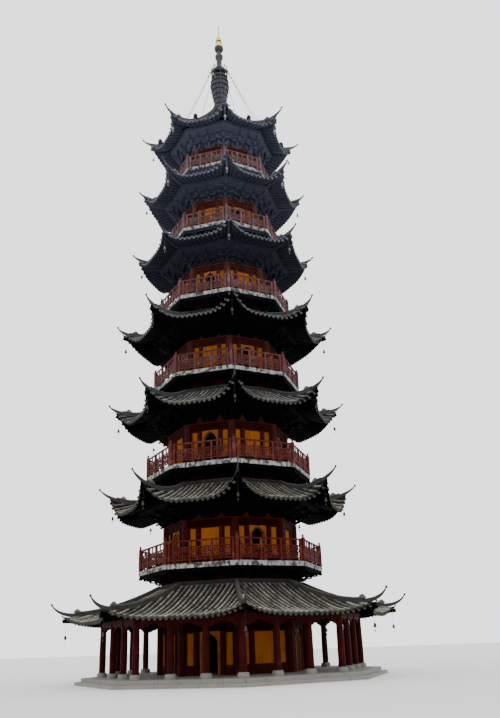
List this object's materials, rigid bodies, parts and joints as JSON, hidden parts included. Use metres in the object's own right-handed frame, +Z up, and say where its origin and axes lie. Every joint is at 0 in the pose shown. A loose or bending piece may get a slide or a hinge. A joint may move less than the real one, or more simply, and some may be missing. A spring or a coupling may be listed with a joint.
{
  "type": "octagonal pagoda tower, 1:2 scale model",
  "caption": "Octagonal multi-storey brick and timber pagoda with tiled upturned roofs, red railed balconies and an iron and gilt finial, as a 1:2 scale model.",
  "frame": {"origin": "middle of the underside of the stone base, at ground level", "axes": "+Z up the tower; -Y is the front side of the octagon, with a doorway in the odd storeys; +X to the right of the front"},
  "size_m": [8.1406, 8.1406, 20.205],
  "materials": {
    "stone": "matt dressed stone",
    "plaster": "matt ochre limewash on brick",
    "red_timber": "weathered dark red paint",
    "grey_timber": "weathered pale grey board",
    "dark_timber": "aged dark oiled timber",
    "roof_tile": "matt grey fired clay",
    "cast_iron": "weathered dark iron",
    "gilt_metal": "worn gilding"
  },
  "bodies": {
    "root": {"base_platform": "stone", "gallery_frame": "red_timber", "wall_1": "plaster", "roof_1": "roof_tile", "ridges_1": "roof_tile", "balcony_2": "grey_timber", "railing_2": "red_timber", "frame_2": "red_timber", "wall_2": "plaster", "roof_2": "roof_tile", "ridges_2": "roof_tile", "balcony_3": "grey_timber", "railing_3": "red_timber", "frame_3": "red_timber", "wall_3": "plaster", "roof_3": "roof_tile", "ridges_3": "roof_tile", "balcony_4": "grey_timber", "railing_4": "red_timber", "frame_4": "red_timber", "wall_4": "plaster", "roof_4": "roof_tile", "ridges_4": "roof_tile", "balcony_5": "grey_timber", "railing_5": "red_timber", "frame_5": "red_timber", "wall_5": "plaster", "roof_5": "roof_tile", "ridges_5": "roof_tile", "balcony_6": "grey_timber", "railing_6": "red_timber", "frame_6": "red_timber", "wall_6": "plaster", "roof_6": "roof_tile", "ridges_6": "roof_tile", "balcony_7": "grey_timber", "railing_7": "red_timber", "frame_7": "red_timber", "wall_7": "plaster", "roof_7": "roof_tile", "ridges_7": "roof_tile", "finial_base": "cast_iron", "finial_rings": "cast_iron", "finial_neck": "cast_iron", "finial_gourd": "gilt_metal", "stay_chains": "cast_iron"}
  },
  "joints": []
}
